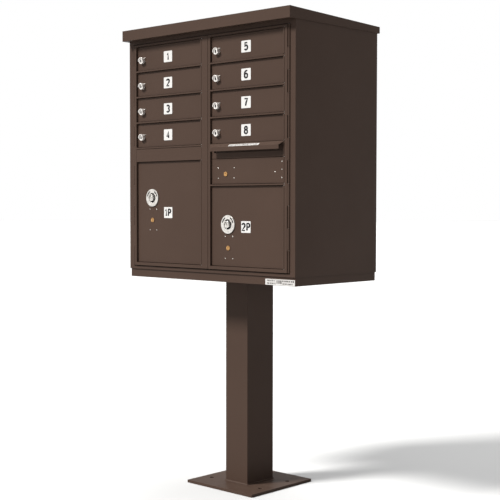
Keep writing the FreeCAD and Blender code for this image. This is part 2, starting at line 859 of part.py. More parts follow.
def make_arrow_plug(label, x, z, upright):
    body = new_body(label, x=x, y=leaf_front, z=z)
    rear = bolt_front - size.bolt_clearance * 2 - leaf_front
    extrude(body, "XZ", [circle(ZERO, ZERO, size.arrow_plug)], -size.arrow_proud, rear)
    long = size.arrow_plug
    short = size.arrow_slot_width / 2
    slot = rectangle(-short, short, -long, long) if upright else rectangle(-long, long, -short, short)
    front = -size.arrow_proud
    extrude(body, "XZ", [slot], front, front + size.arrow_slot_depth, cut=True)


def make_arrow_case(label, x, z, upright):
    """The lock case behind the leaf, with a tunnel for its sliding bolt."""
    body = new_body(label, x=x, y=leaf_rear, z=z)
    long, short = size.case_long / 2, size.case_short / 2
    half_x, half_z = (short, long) if upright else (long, short)
    clear = size.bolt_clearance
    tunnel_front = bolt_front - clear - leaf_rear
    tunnel_rear = bolt_rear + clear - leaf_rear
    extrude(body, "XZ", [rectangle(-half_x, half_x, -half_z, half_z)], ZERO, tunnel_rear + size.case_wall)
    extrude(body, "XZ", [circle(ZERO, ZERO, arrow_hole())], ZERO, tunnel_front, cut=True)
    half_bolt = size.bolt_height / 2 + clear
    tunnel_end = size.bolt_tail + clear * 2
    tunnel = rectangle(tunnel_front, tunnel_rear, -half_bolt, half_bolt)
    extrude(body, "YZ", [tunnel], -half_x, tunnel_end, cut=True)


def make_arrow_bolt(label, x, z, tip):
    """A sliding lock bolt, withdrawn. tip: where its free end rests."""
    half = size.bolt_height / 2
    bolt = box(f"Bolt_{label}", tip, x + size.bolt_tail, bolt_front, bolt_rear, z - half, z + half)
    finish(bolt, label)


# --- assembly ------------------------------------------------------------------------------------

make_base_plate()
make_column()
make_top_plate()
make_mounting_bolts()
for name in COLUMN_NAMES:
    make_side(name)
make_floor_pan()
make_back()
make_hood()
make_front_frame()
make_hinge_pins()
make_partition()
make_shelves()
for name in COLUMN_NAMES:
    make_master_door(name)
    make_hinge_rod(name)
make_filler_panel()
make_latch()

for index, name in enumerate(COLUMN_NAMES):
    for row in range(ROWS):
        number = index * ROWS + row + 1
        lock_x = cell_left[name] + size.lock_offset
        lock_z = row_cell_bottom(row) + row_height / 2 - size.lock_drop
        make_tenant_door(number, name, row)
        make_lock_body(f"tenant_lock_{number}", lock_x, lock_z, size.lock_head, size.lock_head_height, False)
        reach = size.lock_offset + size.cam_engagement
        make_plug(f"tenant_lock_plug_{number}", lock_x, lock_z, size.lock_head_height, reach)

for number, name in enumerate(COLUMN_NAMES, start=1):
    lock_x = cell_left[name] + size.parcel_lock_offset
    lock_z = parcel_top[name] - size.parcel_lock_drop
    arrow_z = parcel_top[name] - size.arrow_drop
    tip = cell_left[name] + size.leaf_gap * 2
    barrel_height = size.parcel_barrel_height
    make_parcel_door(number, name)
    make_lock_body(f"parcel_lock_{number}", lock_x, lock_z, size.parcel_barrel, barrel_height, True)
    reach = size.parcel_lock_offset + size.cam_engagement
    make_plug(f"parcel_lock_plug_{number}", lock_x, lock_z, barrel_height, reach)
    make_arrow_plug(f"parcel_arrow_plug_{number}", lock_x, arrow_z, True)
    make_arrow_case(f"parcel_arrow_case_{number}", lock_x, arrow_z, True)
    make_arrow_bolt(f"parcel_arrow_bolt_{number}", lock_x, arrow_z, tip)

make_lock_panel()
make_awning()
outgoing_x = cell_left["right"] + size.outgoing_arrow_offset
outgoing_z = rows_bottom - size.outgoing_arrow_drop
outgoing_tip = size.split_x + size.split_gap / 2 + size.door_gap
make_arrow_plug("outgoing_arrow_plug", outgoing_x, outgoing_z, False)
make_arrow_case("outgoing_arrow_case", outgoing_x, outgoing_z, False)
make_arrow_bolt("outgoing_arrow_bolt", outgoing_x, outgoing_z, outgoing_tip)

doc.recompute()

# --- checks and export ---------------------------------------------------------------------------

for item in doc.Objects:
    if "Invalid" in item.State or "Error" in item.State:
        raise RuntimeError(f"{item.Label} failed to recompute: {item.State}")
for item in sub_parts:
    if item.Shape.isNull() or not item.Shape.isValid():
        raise RuntimeError(f"{item.Label} has no valid shape")

os.makedirs("parts", exist_ok=True)
for item in sub_parts:
    item.Shape.exportStep(os.path.join("parts", f"{item.Label}.step"))
print(len(sub_parts), "sub-parts written")
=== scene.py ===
import json
import math
from random import Random

import bmesh
import bpy
from mathutils import Matrix, Vector


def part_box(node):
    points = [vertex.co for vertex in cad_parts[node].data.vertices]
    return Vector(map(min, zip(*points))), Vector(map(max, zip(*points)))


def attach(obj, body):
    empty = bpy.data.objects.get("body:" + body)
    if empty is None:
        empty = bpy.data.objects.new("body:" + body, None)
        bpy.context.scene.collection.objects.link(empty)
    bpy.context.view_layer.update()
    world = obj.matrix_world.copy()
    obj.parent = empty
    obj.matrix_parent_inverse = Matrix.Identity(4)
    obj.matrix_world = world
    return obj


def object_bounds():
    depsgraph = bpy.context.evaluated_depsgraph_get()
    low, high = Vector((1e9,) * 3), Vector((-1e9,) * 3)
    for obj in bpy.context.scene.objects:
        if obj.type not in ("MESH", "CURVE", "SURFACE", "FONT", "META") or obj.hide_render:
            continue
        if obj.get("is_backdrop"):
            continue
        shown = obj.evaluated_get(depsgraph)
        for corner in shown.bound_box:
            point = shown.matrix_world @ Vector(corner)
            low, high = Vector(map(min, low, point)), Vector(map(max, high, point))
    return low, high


# Looks of a cluster mailbox unit: powder-coated sheet metal, plated locks, brass arrow locks,
# number labels, rivets, blank stickers and welds, in a plain studio. Metres, except where a
# comment says millimetres.

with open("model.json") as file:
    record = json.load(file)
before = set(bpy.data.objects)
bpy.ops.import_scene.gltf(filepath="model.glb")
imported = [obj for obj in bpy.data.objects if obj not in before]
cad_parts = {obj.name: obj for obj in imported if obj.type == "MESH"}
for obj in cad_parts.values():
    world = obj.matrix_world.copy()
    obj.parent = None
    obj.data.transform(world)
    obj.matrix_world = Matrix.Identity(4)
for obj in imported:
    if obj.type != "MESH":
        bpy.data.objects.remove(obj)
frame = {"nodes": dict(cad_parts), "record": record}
cad_low, cad_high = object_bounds()

MM = 0.001

# colours, linear
BRONZE = (0.0370, 0.0228, 0.0168)
BRONZE_DARK = (0.0335, 0.0205, 0.0151)
# lighter colour of sharp edges: rubbed wear and a painted highlight
BRONZE_WEAR_AND_HIGHLIGHT = (0.056, 0.037, 0.028)
DUST = (0.066, 0.050, 0.040)
ZINC = (0.58, 0.58, 0.56)
NICKEL = (0.55, 0.53, 0.50)
# a lighter copy of the nickel for the tenant lock heads: painted light
NICKEL_PAINTED_LIGHT = (0.66, 0.63, 0.60)
# nickel for the light sheet beside each tenant lock head: a painted highlight
NICKEL_STREAK_HIGHLIGHT = (0.20, 0.18, 0.165)
BRASS = (0.48, 0.28, 0.11)
BRASS_DARK = (0.28, 0.13, 0.04)
# lighter brass along sharp edges: rubbed wear and a painted highlight
BRASS_WEAR_AND_HIGHLIGHT = (0.9, 0.62, 0.3)
LABEL_WHITE = (0.37, 0.362, 0.352)
# black for printed numbers and lock marks, also used as painted shade in keyholes and lock grooves
INK_AND_PAINTED_SHADE = (0.006, 0.006, 0.0065)
STICKER_GREY = (0.29, 0.28, 0.27)
STICKER_WHITE = (0.36, 0.35, 0.34)
PRINT_GREY = (0.045, 0.04, 0.038)
FLOOR = (0.35, 0.35, 0.35)

# finish: roughness, shine, grain, and the cosines of lean between which an edge is lightened, partly as
# rubbed wear and partly as a painted highlight
COAT_ROUGHNESS = 0.46
PEDESTAL_ROUGHNESS = 0.48
COAT_SPECULAR = 0.07
MATT_SPECULAR = 0.1
NO_GRAIN = (1.0, 1.0, 1.0)
GRAIN_ALONG_Z = (1.0, 1.0, 0.04)
EDGE_STARTS = 0.995
EDGE_FULL = 0.80

# number labels; the face of a door leaf lies behind the front of its hinge knuckle
FACE_BEHIND_KNUCKLE = 6.0 * MM
LABEL_FROM_LEFT = 155.0 * MM
LABEL_WIDTH = 41.5 * MM
LABEL_HEIGHT = 37.5 * MM
LABEL_CORNER = 2.5 * MM
LABEL_THICKNESS = 0.35 * MM
LABEL_DROP = 2.0 * MM
DIGIT_HEIGHT = 28.0 * MM
DIGIT_WIDTH = 20.0 * MM
DIGIT_STROKE = 5.6 * MM
STEM_GAIN = 1.3
PARCEL_DIGIT_WIDTH = 19.0 * MM
CHARACTER_GAP = 1.6 * MM
NARROW_SHARE = 0.58
PARCEL_LABEL_RISE = {1: -51.0 * MM, 2: -7.5 * MM}

# rivets; the two lists are millimetres from the arrow lock and from the panel's top right corner
RIVET_RADIUS = 1.8 * MM
RIVET_RISE = 0.9 * MM
RIVET_GRID = {"half_x": 17.0 * MM, "half_z": 36.0 * MM, "shift_x": 3.2 * MM, "shift_z": 1.8 * MM}
OUTGOING_RIVETS = ((-34.2, 20.0), (38.0, 20.0), (-34.2, -13.5), (38.0, -13.5))
HINGE_SIDE_RIVETS = ((-15.4, -14.0), (-15.4, -38.5), (-15.4, -65.0), (-44.6, -45.6))

# tenant lock faces: a dark disc on the plug, painted shade in the keyhole, and a light sheet beside
# the head, a painted highlight on the head's lit top; the sheet's points are millimetres
KEYHOLE_SHADE = (6.2 * MM, 10.4 * MM)
KEYHOLE_SHADE_CORNER_SHARE = 0.49
KEYHOLE_SHADE_DROP = 1.2 * MM
KEYHOLE_SHADE_THICKNESS = 0.2 * MM
HIGHLIGHT_STREAK_POINTS = ((5.0, 10.4), (9.0, 10.6), (14.5, 9.8), (14.5, 9.0), (8.0, 6.6))
HIGHLIGHT_STREAK_OUTLINE = tuple((x * MM, z * MM) for x, z in HIGHLIGHT_STREAK_POINTS)
HIGHLIGHT_STREAK_THICKNESS = 1.4 * MM

# parcel lock faces: printed arc marks, and dark rings on the groove floor that are painted shade
ARC_INNER, ARC_OUTER = 22.0 * MM, 26.0 * MM
ARC_SPANS = ((12, 62), (118, 168))
ARC_THICKNESS = 0.25 * MM
GROOVE_INNER, GROOVE_OUTER = 11.7 * MM, 16.8 * MM
GROOVE_DEPTH = 3.0 * MM
GROOVE_STEPS = 24
COLLAR_RISE = 3.5 * MM

# mail slot flap
FLAP_SIZE = (296.0 * MM, 24.0 * MM)
FLAP_CORNER = 1.0 * MM
FLAP_THICKNESS = 1.2 * MM
FLAP_BEHIND = 0.5 * MM
SLOT_MIDDLE_DROP = 20.0 * MM

# blank stickers; rows of bars are (z, height, left, right);
# bar widths and gaps are millimetres
PRINT_THICKNESS = 0.12 * MM
BAR_WIDTHS = (1.2, 5.0)
BAR_GAPS = (1.0, 3.2)
SKIRT_STICKER = (124.0 * MM, 19.0 * MM)
SKIRT_STICKER_CORNER = 1.2 * MM
SKIRT_STICKER_INSET = 2.0 * MM
SKIRT_STICKER_LIFT_SHARE = 0.4
SKIRT_ROWS = (
    (2.0 * MM, 4.8 * MM, -55.0 * MM, -22.0 * MM),
    (-6.4 * MM, 4.4 * MM, -55.0 * MM, -18.0 * MM),
    (-4.6 * MM, 11.0 * MM, -14.0 * MM, 4.0 * MM),
    (1.6 * MM, 5.2 * MM, 10.0 * MM, 55.0 * MM),
    (-6.4 * MM, 4.4 * MM, 10.0 * MM, 52.0 * MM),
)
SKIRT_SEED = 11
AWNING_REACH = 15.0 * MM
AWNING_FALL = 12.0 * MM
AWNING_LABEL = (132.0 * MM, 9.5 * MM)
AWNING_LABEL_CORNER = 0.8 * MM
AWNING_LABEL_X = 182.0 * MM
AWNING_LABEL_SLIDE = 0.66
AWNING_ROWS = ((-2.6 * MM, 5.2 * MM, -62.0 * MM, 60.0 * MM),)
AWNING_SEED = 5

# welds
WELD_RADIUS = 4.2 * MM
WELD_RIPPLE_PITCH = 3.0 * MM
WELD_RIPPLE = 0.10
WELD_SIDES = 10
STEPS_PER_RIPPLE = 3

# studio
FLOOR_RADIUS = 60.0
FLOOR_STEPS = 64
FLOOR_BELOW = 0.2 * MM
SKY_HORIZON = 1.0
SKY_BAND = 0.085
SKY_TOP = 2.8
SKY_SCALE = 4.0
CAMERA_PLACE = (2.6824, -2.8660, 0.9675)
CAMERA_TURN = 43.09
CAMERA_TILT = -2.30
CAMERA_ROLL = 0.06
FOCAL_PIXELS = 1135.0
PICTURE_PIXELS = 500.0


# --- materials -----------------------------------------------------------------------------------

def new_material(name):
    material = bpy.data.materials.new(name)
    material.use_nodes = True
    nodes = material.node_tree.nodes
    nodes.clear()
    output = nodes.new("ShaderNodeOutputMaterial")
    shader = nodes.new("ShaderNodeBsdfPrincipled")
    material.node_tree.links.new(shader.outputs["BSDF"], output.inputs["Surface"])
    return material, nodes, material.node_tree.links, shader


def noise(nodes, links, scale, detail=3.0, stretch=None):
    """A noise texture in the object's own metres, optionally stretched along an axis."""
    place = nodes.new("ShaderNodeTexCoord")
    texture = nodes.new("ShaderNodeTexNoise")
    texture.inputs["Scale"].default_value = scale
    texture.inputs["Detail"].default_value = detail
    if stretch is None:
        links.new(place.outputs["Object"], texture.inputs["Vector"])
        return texture.outputs["Fac"]
    mapping = nodes.new("ShaderNodeMapping")
    mapping.inputs["Scale"].default_value = stretch
    links.new(place.outputs["Object"], mapping.inputs["Vector"])
    links.new(mapping.outputs["Vector"], texture.inputs["Vector"])
    return texture.outputs["Fac"]


def ramp(nodes, links, source, low, high, low_colour, high_colour):
    node = nodes.new("ShaderNodeValToRGB")
    first, last = node.color_ramp.elements
    first.position, last.position = low, high
    first.color = (*low_colour, 1.0)
    last.color = (*high_colour, 1.0)
    links.new(source, node.inputs["Fac"])
    return node.outputs["Color"]


def spread(nodes, links, source, low, high):
    """Map a 0 to 1 value onto a range."""
    node = nodes.new("ShaderNodeMapRange")
    node.inputs["To Min"].default_value = low
    node.inputs["To Max"].default_value = high
    links.new(source, node.inputs["Value"])
    return node.outputs["Result"]


def blend(nodes, links, factor, below, above):
    node = nodes.new("ShaderNodeMix")
    node.data_type = "RGBA"
    links.new(factor, node.inputs["Factor"])
    for socket, value in (("A", below), ("B", above)):
        target = next(s for s in node.inputs if s.name == socket and s.type == "RGBA")
        if isinstance(value, tuple):
            target.default_value = (*value, 1.0)
        else:
            links.new(value, target)
    return next(s for s in node.outputs if s.type == "RGBA")


def rounded_bump(nodes, links, shader, height, distance, strength, radius):
    """Surface bump on top of softly rounded edges."""
    bevel = nodes.new("ShaderNodeBevel")
    bevel.samples = 4
    bevel.inputs["Radius"].default_value = radius
    bump = nodes.new("ShaderNodeBump")
    bump.inputs["Distance"].default_value = distance
    bump.inputs["Strength"].default_value = strength
    links.new(height, bump.inputs["Height"])
    links.new(bevel.outputs["Normal"], bump.inputs["Normal"])
    links.new(bump.outputs["Normal"], shader.inputs["Normal"])
    return bevel


def edge_mask(nodes, links, bevel):
    """1 along sharp edges, 0 on flat faces: how far the rounded normal leans off the face."""
    geometry = nodes.new("ShaderNodeNewGeometry")
    dot = nodes.new("ShaderNodeVectorMath")
    dot.operation = "DOT_PRODUCT"
    links.new(bevel.outputs["Normal"], dot.inputs[0])
    links.new(geometry.outputs["Normal"], dot.inputs[1])
    limits = nodes.new("ShaderNodeMapRange")
    limits.inputs["From Min"].default_value = EDGE_STARTS
    limits.inputs["From Max"].default_value = EDGE_FULL
    links.new(dot.outputs["Value"], limits.inputs["Value"])
    return limits.outputs["Result"]


def powder_coat(name, roughness):
    """Fine orange-peel powder coat: drifting tone, edges lightened in patches (rubbed wear and a painted
    highlight) and a little settled dust.
    """
    material, nodes, links, shader = new_material(name)
    peel = noise(nodes, links, 620.0, 2.0)
    bevel = rounded_bump(nodes, links, shader, peel, 0.00025, 0.35, 0.0009)
    tone = ramp(nodes, links, noise(nodes, links, 3.2, 4.0), 0.35, 0.68, BRONZE_DARK, BRONZE)
    speck = spread(nodes, links, noise(nodes, links, 90.0, 5.0), -0.25, 0.4)
    # sharp edges lighten in patches: rubbed wear, and a painted highlight along every edge
    edge_wear_and_highlight = nodes.new("ShaderNodeMath")
    edge_wear_and_highlight.operation = "MULTIPLY"
    edge_wear_and_highlight.use_clamp = True
    links.new(edge_mask(nodes, links, bevel), edge_wear_and_highlight.inputs[0])
    links.new(speck, edge_wear_and_highlight.inputs[1])
    coloured = blend(nodes, links, edge_wear_and_highlight.outputs[0], tone, BRONZE_WEAR_AND_HIGHLIGHT)
    geometry = nodes.new("ShaderNodeNewGeometry")
    upward = nodes.new("ShaderNodeSeparateXYZ")
    links.new(geometry.outputs["Normal"], upward.inputs[0])
    dusty = nodes.new("ShaderNodeMath")
    dusty.operation = "MULTIPLY"
    dusty.use_clamp = True
    links.new(upward.outputs["Z"], dusty.inputs[0])
    links.new(spread(nodes, links, noise(nodes, links, 26.0, 6.0), -0.12, 0.24), dusty.inputs[1])
    links.new(blend(nodes, links, dusty.outputs[0], coloured, DUST), shader.inputs["Base Color"])
    gloss = spread(nodes, links, noise(nodes, links, 14.0, 4.0), roughness - 0.06, roughness + 0.08)
    links.new(gloss, shader.inputs["Roughness"])
    shader.inputs["Specular IOR Level"].default_value = COAT_SPECULAR
    return material


def plated(name, colour, roughness, metallic, grain):
    """Plated or turned metal with a faint grain, dulled patches and a painted highlight along sharp edges.
    """
    material, nodes, links, shader = new_material(name)
    lines = noise(nodes, links, 900.0, 3.0, grain)
    bevel = rounded_bump(nodes, links, shader, lines, 0.00008, 0.3, 0.0005)
    dull = tuple(channel * 0.72 for channel in colour)
    patches = ramp(nodes, links, noise(nodes, links, 160.0, 5.0), 0.3, 0.62, dull, colour)
    # a lighter copy of the colour along sharp edges: painted highlight
    bright = tuple(min(1.0, channel * 1.12) for channel in colour)
    edges = edge_mask(nodes, links, bevel)
    links.new(blend(nodes, links, edges, patches, bright), shader.inputs["Base Color"])
    gloss = spread(nodes, links, noise(nodes, links, 240.0, 4.0), roughness - 0.08, roughness + 0.1)
    links.new(gloss, shader.inputs["Roughness"])
    shader.inputs["Metallic"].default_value = metallic
    return material


def turned_brass():
    material, nodes, links, shader = new_material("turned_brass")
    grain = noise(nodes, links, 700.0, 3.0)
    bevel = rounded_bump(nodes, links, shader, grain, 0.00008, 0.3, 0.0004)
    tarnish = ramp(nodes, links, noise(nodes, links, 210.0, 6.0), 0.36, 0.6, BRASS_DARK, BRASS)
    # sharp edges get the lighter brass: rubbed wear and a painted highlight
    rim = edge_mask(nodes, links, bevel)
    links.new(blend(nodes, links, rim, tarnish, BRASS_WEAR_AND_HIGHLIGHT), shader.inputs["Base Color"])
    links.new(spread(nodes, links, grain, 0.28, 0.46), shader.inputs["Roughness"])
    shader.inputs["Metallic"].default_value = 0.85
    return material


def vinyl(name, colour, shade):
    """Printed sheet: a slightly uneven white film."""
    material, nodes, links, shader = new_material(name)
    fibre = noise(nodes, links, 1500.0, 3.0)
    rounded_bump(nodes, links, shader, fibre, 0.00003, 0.25, 0.0002)
    uneven = ramp(nodes, links, noise(nodes, links, 45.0, 4.0), 0.3, 0.7, shade, colour)
    links.new(uneven, shader.inputs["Base Color"])
    links.new(spread(nodes, links, fibre, 0.38, 0.5), shader.inputs["Roughness"])
    return material


def flat_ink(name, colour):
    """Matt print, a little uneven; the black one is also painted shade in the keyholes and lock grooves."""
    material, nodes, links, shader = new_material(name)
    faded = tuple(channel * 1.5 for channel in colour)
    uneven = ramp(nodes, links, noise(nodes, links, 300.0, 4.0), 0.35, 0.8, colour, faded)
    links.new(uneven, shader.inputs["Base Color"])
    links.new(spread(nodes, links, noise(nodes, links, 900.0), 0.6, 0.75), shader.inputs["Roughness"])
    shader.inputs["Specular IOR Level"].default_value = MATT_SPECULAR
    return material


def studio_floor():
    material, nodes, links, shader = new_material("studio_floor")
    soft = noise(nodes, links, 1.5, 4.0)
    near = tuple(channel * 0.985 for channel in FLOOR)
    links.new(ramp(nodes, links, soft, 0.3, 0.7, near, FLOOR), shader.inputs["Base Color"])
    shader.inputs["Roughness"].default_value = 0.85
    shader.inputs["Specular IOR Level"].default_value = MATT_SPECULAR
    return material


coat = powder_coat("bronze_powder_coat", COAT_ROUGHNESS)
coat_pedestal = powder_coat("bronze_powder_coat_pedestal", PEDESTAL_ROUGHNESS)
zinc = plated("zinc_plate", ZINC, 0.36, 1.0, GRAIN_ALONG_Z)
nickel = plated("nickel_plate", NICKEL, 0.34, 0.75, NO_GRAIN)
# the lighter nickel copy for the tenant lock heads: painted light
nickel_painted_light = plated("nickel_plate_painted_light", NICKEL_PAINTED_LIGHT, 0.34, 0.6, NO_GRAIN)
# nickel for the light sheet beside each tenant lock head: a painted highlight
nickel_streak_highlight = plated("nickel_painted_highlight", NICKEL_STREAK_HIGHLIGHT, 0.5, 0.4, NO_GRAIN)
brass = turned_brass()
label_film = vinyl("label_film", LABEL_WHITE, tuple(channel * 0.94 for channel in LABEL_WHITE))
sticker_film = vinyl("sticker_film", STICKER_WHITE, STICKER_GREY)
print_grey = flat_ink("print_grey", PRINT_GREY)
# black print for numbers and lock marks, also the painted shade in keyholes and lock grooves
ink_and_painted_shade = flat_ink("label_ink", INK_AND_PAINTED_SHADE)

SLOT_MATERIALS = {
    "cabinet_coat": coat,
    "pedestal_coat": coat_pedestal,
    "zinc_steel": zinc,
    "lock_metal": nickel,
    "lock_brass": brass,
}
for entry in frame["record"]["subparts"]:
    mesh = frame["nodes"][entry["node"]].data
    mesh.materials.clear()
    # tenant lock heads get the lighter nickel copy, which is painted light
    tenant_lock = entry["node"].startswith("tenant_lock")
    mesh.materials.append(nickel_painted_light if tenant_lock else SLOT_MATERIALS[entry["material_slot"]])


# --- small pieces --------------------------------------------------------------------------------

def add_piece(name, mesh, material, body, place=None, smooth=False):
    piece = bpy.data.objects.new(name, mesh)
    bpy.context.scene.collection.objects.link(piece)
    if place is not None:
        piece.matrix_world = place
    mesh.materials.clear()
    mesh.materials.append(material)
    for polygon in mesh.polygons:
        polygon.use_smooth = smooth
    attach(piece, body)
    return piece


def mesh_from(name, build):
    work = bmesh.new()
    build(work)
    bmesh.ops.recalc_face_normals(work, faces=work.faces)
    mesh = bpy.data.meshes.new(name)
    work.to_mesh(mesh)
    work.free()
    return mesh


def rounded_outline(width, height, corner, steps=5):
    points = []
    centres = ((1, 1, 0), (-1, 1, 90), (-1, -1, 180), (1, -1, 270))
    for side_x, side_z, start in centres:
        for step in range(steps + 1):
            turn = math.radians(start + 90 * step / steps)
            x = side_x * (width / 2 - corner) + corner * math.cos(turn)
            z = side_z * (height / 2 - corner) + corner * math.sin(turn)
            points.append((x, z))
    return points


def add_slab(work, outline, thickness):
    """A slab of any outline in the XZ plane, its back at y = 0."""
    back = [work.verts.new((x, 0.0, z)) for x, z in outline]
    front = [work.verts.new((x, -thickness, z)) for x, z in outline]
    work.faces.new(back)
    work.faces.new(front)
    for index in range(len(outline)):
        after = (index + 1) % len(outline)
        work.faces.new((back[index], back[after], front[after], front[index]))


def sheet(name, outline, thickness):
    return mesh_from(name, lambda work: add_slab(work, outline, thickness))


def film(name, width, height, corner, thickness):
    """A thin rectangle with rounded corners."""
    return sheet(name, rounded_outline(width, height, corner), thickness)


def lathe(name, profile, steps=24):
    """A turned form about the Y axis; profile: (radius, y), from the back to the front centre."""
    def build(work):
        rings = []
        for radius, y in profile[:-1]:
            ring = []
            for step in range(steps):
                turn = 2 * math.pi * step / steps
                ring.append(work.verts.new((radius * math.cos(turn), y, radius * math.sin(turn))))
            rings.append(ring)
        tip = work.verts.new((0.0, profile[-1][1], 0.0))
        work.faces.new(rings[0])
        for lower, upper in zip(rings, rings[1:]):
            for step in range(steps):
                after = (step + 1) % steps
                work.faces.new((lower[step], lower[after], upper[after], upper[step]))
        for step in range(steps):
            work.faces.new((rings[-1][step], rings[-1][(step + 1) % steps], tip))
    return mesh_from(name, build)


def arc_strip(name, inner, outer, start, end, thickness, steps=10):
    """Part of a flat ring in the XZ plane; angles in degrees from +X towards +Z."""
    def build(work):
        corners = []
        for step in range(steps + 1):
            turn = math.radians(start + (end - start) * step / steps)
            ring = []
            for radius, y in ((inner, 0.0), (outer, 0.0), (outer, -thickness), (inner, -thickness)):
                ring.append(work.verts.new((radius * math.cos(turn), y, radius * math.sin(turn))))
            corners.append(ring)
        for before, after in zip(corners, corners[1:]):
            for edge in range(4):
                follow = (edge + 1) % 4
                work.faces.new((before[edge], before[follow], after[follow], after[edge]))
        work.faces.new(corners[0])
        work.faces.new(corners[-1])
    return mesh_from(name, build)


def bow(x, z, half_x, half_z, start, end, steps=14):
    """Part of an ellipse as a list of points; angles in degrees from +X towards +Z."""
    points = []
    for step in range(steps + 1):
        turn = math.radians(start + (end - start) * step / steps)
        points.append((x + half_x * math.cos(turn), z + half_z * math.sin(turn)))
    return points


# centre lines of each character's strokes, in a box one wide and one high about the origin
CHARACTERS = {
    "1": [[(-0.5, 0.22), (-0.1, 0.33), (0.22, 0.5), (0.22, -0.5)]],
    "2": [bow(0.0, 0.22, 0.5, 0.28, 165, -35) + [(-0.5, -0.5), (0.5, -0.5)]],
    "3": [bow(0.0, 0.26, 0.46, 0.24, 155, -90), bow(0.0, -0.24, 0.5, 0.26, 90, -155)],
    "4": [[(0.5, -0.22), (-0.5, -0.22), (0.2, 0.5), (0.2, -0.5)]],
    "5": [[(0.44, 0.5), (-0.34, 0.5), (-0.44, 0.02)] + bow(0.0, -0.17, 0.5, 0.33, 138, -152)],
    "6": [bow(0.0, -0.19, 0.5, 0.31, 0, 360), bow(0.12, 0.0, 0.62, 0.5, 62, 190)],
    "7": [[(-0.5, 0.5), (0.5, 0.5), (0.1, 0.05), (-0.15, -0.5)]],
    "8": [bow(0.0, 0.27, 0.42, 0.23, 0, 360), bow(0.0, -0.23, 0.5, 0.27, 0, 360)],
    "P": [[(-0.45, -0.5), (-0.45, 0.5), (0.1, 0.5)] + bow(0.1, 0.24, 0.4, 0.26, 90, -90) + [(-0.45, -0.02)]],
}


def digits(name, text, width, height, thickness):
    """Bold characters as flattened strokes along their centre lines, centred on the origin."""
    curve = bpy.data.curves.new(name, "CURVE")
    curve.dimensions = "3D"
    curve.bevel_depth = DIGIT_STROKE / 2
    curve.bevel_resolution = 2
    curve.use_fill_caps = True
    spans = [width * (NARROW_SHARE if character == "1" else 1.0) for character in text]
    left = -(sum(spans) + CHARACTER_GAP * (len(text) - 1)) / 2
    for character, span in zip(text, spans):
        centre = left + span / 2
        for line in CHARACTERS[character]:
            spline = curve.splines.new("POLY")
            spline.points.add(len(line) - 1)
            for point, (x, z) in zip(spline.points, line):
                across = centre / STEM_GAIN + x * (span / STEM_GAIN - DIGIT_STROKE)
                point.co = (across, 0.0, z * (height - DIGIT_STROKE), 1.0)
        left += span + CHARACTER_GAP
    maker = bpy.data.objects.new(name, curve)
    bpy.context.scene.collection.objects.link(maker)
    bpy.context.view_layer.update()
    mesh = bpy.data.meshes.new_from_object(maker)
    bpy.data.objects.remove(maker)
    mesh.transform(Matrix.Diagonal((STEM_GAIN, thickness / DIGIT_STROKE, 1.0, 1.0)))
    return mesh


def at(x, y, z):
    return Matrix.Translation((x, y, z))


def middle(node):
    low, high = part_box(node)
    return (Vector(low) + Vector(high)) / 2


def leaf_face(node):
    """Front face of a door leaf: its lowest y is the hinge knuckle's."""
    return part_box(node)[0][1] + FACE_BEHIND_KNUCKLE


# --- number labels -------------------------------------------------------------------------------

def number_label(tag, text, width, body, x, y, z):
    backing = film(f"label_{tag}", LABEL_WIDTH, LABEL_HEIGHT, LABEL_CORNER, LABEL_THICKNESS)
    add_piece(f"label_{tag}", backing, label_film, body, at(x, y, z))
    printed = digits(f"number_{tag}", text, width, DIGIT_HEIGHT, LABEL_THICKNESS / 2)
    add_piece(f"number_{tag}", printed, ink_and_painted_shade, body, at(x, y - LABEL_THICKNESS, z))


for number in range(1, 9):
    node = f"tenant_door_{number}"
    low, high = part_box(node)
    centre_z = (low[2] + high[2]) / 2 - LABEL_DROP
    number_label(str(number), str(number), DIGIT_WIDTH, node, low[0] + LABEL_FROM_LEFT, leaf_face(node),
                 centre_z)

for number, rise in PARCEL_LABEL_RISE.items():
    node = f"parcel_door_{number}"
    low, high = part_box(node)
    lock_low, lock_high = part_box(f"parcel_lock_{number}")
    z = (lock_low[2] + lock_high[2]) / 2 + rise
    number_label(f"{number}P", f"{number}P", PARCEL_DIGIT_WIDTH, node, low[0] + LABEL_FROM_LEFT,
                 leaf_face(node), z)


# --- rivets --------------------------------------------------------------------------------------

RIVET_PROFILE = tuple(
    (RIVET_RADIUS * math.cos(math.radians(turn)), -RIVET_RISE * math.sin(math.radians(turn)))
    for turn in (0, 20, 40, 60, 78, 90)
)


def rivet(name, body, x, y, z):
    add_piece(name, lathe(name, RIVET_PROFILE), nickel, body, at(x, y, z), smooth=True)


for number in (1, 2):
    node = f"parcel_door_{number}"
    plug = middle(f"parcel_arrow_plug_{number}")
    count = 0
    for side_x in (-1, 1):
        for side_z in (-1, 1):
            count += 1
            x = plug.x + RIVET_GRID["shift_x"] + side_x * RIVET_GRID["half_x"]
            z = plug.z + RIVET_GRID["shift_z"] + side_z * RIVET_GRID["half_z"]
            rivet(f"rivet_parcel_{number}_{count}", node, x, leaf_face(node), z)

panel_face = leaf_face("outgoing_lock_panel")
plug = middle("outgoing_arrow_plug")
for count, (dx, dz) in enumerate(OUTGOING_RIVETS, start=1):
    rivet(f"rivet_outgoing_{count}", "right_master", plug.x + dx * MM, panel_face, plug.z + dz * MM)
panel_low, panel_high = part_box("outgoing_lock_panel")
for count, (dx, dz) in enumerate(HINGE_SIDE_RIVETS, start=1):
    x, z = panel_high[0] + dx * MM, panel_high[2] + dz * MM
    rivet(f"rivet_catch_{count}", "right_master", x, panel_face, z)


# --- tenant lock faces ---------------------------------------------------------------------------

